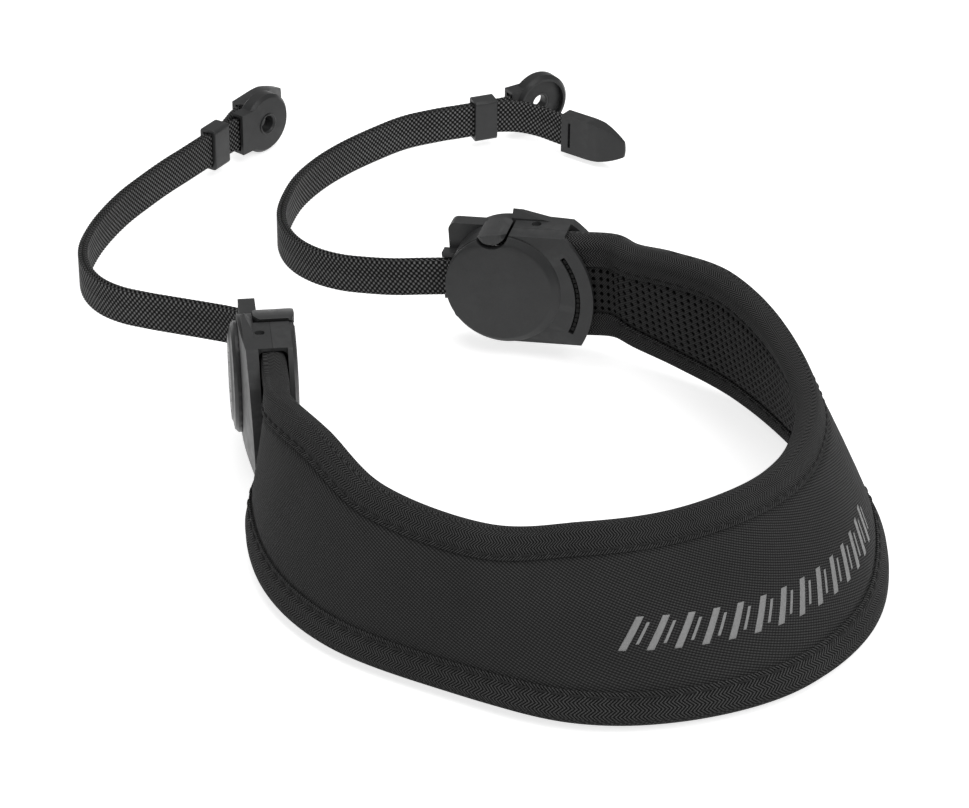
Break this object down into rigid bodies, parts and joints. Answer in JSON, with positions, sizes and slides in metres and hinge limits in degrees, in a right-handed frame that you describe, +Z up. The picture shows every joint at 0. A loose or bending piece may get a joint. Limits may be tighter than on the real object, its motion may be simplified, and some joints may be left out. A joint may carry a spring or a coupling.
{
  "type": "binocular neck strap",
  "caption": "Contoured padded neck strap for binoculars, with push-button webbing adjusters, doubled webbing loops, keepers, pull tabs and round disc connectors.",
  "frame": {"origin": "on the table under the middle of the pad and its two housings", "axes": "+Z up, the pad stands on its lower edge; +Y from the back of the neck towards the webbing; +X to the wearer's side of the right housing"},
  "size_m": [0.1991, 0.2958, 0.0406],
  "materials": {
    "knit": "fine matte twill knit",
    "mesh": "air mesh with round holes",
    "foam": "soft closed foam",
    "tape": "herringbone binding tape with a stitch line",
    "webbing": "ribbed narrow webbing",
    "thread": "twisted sewing thread",
    "shell_plastic": "satin moulded",
    "dark_plastic": "satin moulded",
    "steel": "plain"
  },
  "bodies": {
    "root": {"pad_foam": "foam", "pad_outer_cover": "knit", "pad_inner_mesh": "mesh", "pad_upper_binding": "tape", "pad_lower_binding": "tape", "left_inner_shell": "shell_plastic", "left_outer_shell": "shell_plastic", "left_outer_cover": "shell_plastic", "left_button_spring": "steel", "left_cam_pin": "steel", "left_roller_pin": "steel", "left_seam_stitches": "thread", "left_webbing_turn": "webbing", "left_strap_main": "webbing", "left_strap_tail": "webbing", "left_connector_bar": "steel", "left_pull_tab": "dark_plastic", "right_inner_shell": "shell_plastic", "right_outer_shell": "shell_plastic", "right_outer_cover": "shell_plastic", "right_button_spring": "steel", "right_cam_pin": "steel", "right_roller_pin": "steel", "right_seam_stitches": "thread", "right_webbing_turn": "webbing", "right_strap_main": "webbing", "right_strap_tail": "webbing", "right_connector_bar": "steel", "right_pull_tab": "dark_plastic"},
    "left_button": {"left_release_button": "shell_plastic"},
    "left_lever": {"left_cam_lever": "dark_plastic"},
    "left_roller": {"left_turn_roller": "dark_plastic"},
    "left_slider": {"left_keeper": "shell_plastic"},
    "left_connector": {"left_connector_body": "dark_plastic", "left_connector_bushing": "shell_plastic"},
    "right_button": {"right_release_button": "shell_plastic"},
    "right_lever": {"right_cam_lever": "dark_plastic"},
    "right_roller": {"right_turn_roller": "dark_plastic"},
    "right_slider": {"right_keeper": "shell_plastic"},
    "right_connector": {"right_connector_body": "dark_plastic", "right_connector_bushing": "shell_plastic"}
  },
  "joints": [
    {"name": "left_button_press", "type": "slide", "parent": "root", "child": "left_button", "axis": [-0.0338, -0.061, -0.9976], "range_m": [0, 0.0009], "stiffness_N_per_m": 900, "springref_m": -0.001, "deforming": ["left_button_spring"]},
    {"name": "left_lever_open", "type": "hinge", "parent": "root", "child": "left_lever", "pos_m": [-0.03985, 0.0604, 0.02052], "axis": [0.0338, 0.061, 0.9976], "range_deg": [0, 4]},
    {"name": "left_roller_spin", "type": "hinge", "parent": "root", "child": "left_roller", "pos_m": [-0.034, 0.0656, 0.02], "axis": [0.0338, 0.061, 0.9976], "continuous": true},
    {"name": "left_keeper_slide", "type": "slide", "parent": "root", "child": "left_slider", "axis": [0.9285, 0.3714, 0], "range_m": [-0.01, 0]},
    {"name": "left_connector_swing", "type": "hinge", "parent": "root", "child": "left_connector", "pos_m": [0.03957, 0.1954, 0.009], "axis": [0, 0, 1], "range_deg": [-15, 0]},
    {"name": "right_button_press", "type": "slide", "parent": "root", "child": "right_button", "axis": [0.0448, -0.0534, -0.9976], "range_m": [0, 0.0009], "stiffness_N_per_m": 900, "springref_m": -0.001, "deforming": ["right_button_spring"]},
    {"name": "right_lever_open", "type": "hinge", "parent": "root", "child": "right_lever", "pos_m": [0.04574, 0.06612, 0.02052], "axis": [0.0448, -0.0534, -0.9976], "range_deg": [0, 4]},
    {"name": "right_roller_spin", "type": "hinge", "parent": "root", "child": "right_roller", "pos_m": [0.039, 0.0701, 0.02], "axis": [-0.0448, 0.0534, 0.9976], "continuous": true},
    {"name": "right_keeper_slide", "type": "slide", "parent": "root", "child": "right_slider", "axis": [0.9664, -0.2571, 0], "range_m": [-0.01, 0]},
    {"name": "right_connector_swing", "type": "hinge", "parent": "root", "child": "right_connector", "pos_m": [0.10992, 0.1641, 0.0087], "axis": [0, 0, 1], "range_deg": [0, 15]}
  ],
  "couplings": [
    {"joint": "left_lever_open", "follows": "left_button_press", "rad_per_m": 77.493},
    {"joint": "right_lever_open", "follows": "right_button_press", "rad_per_m": 77.493}
  ]
}
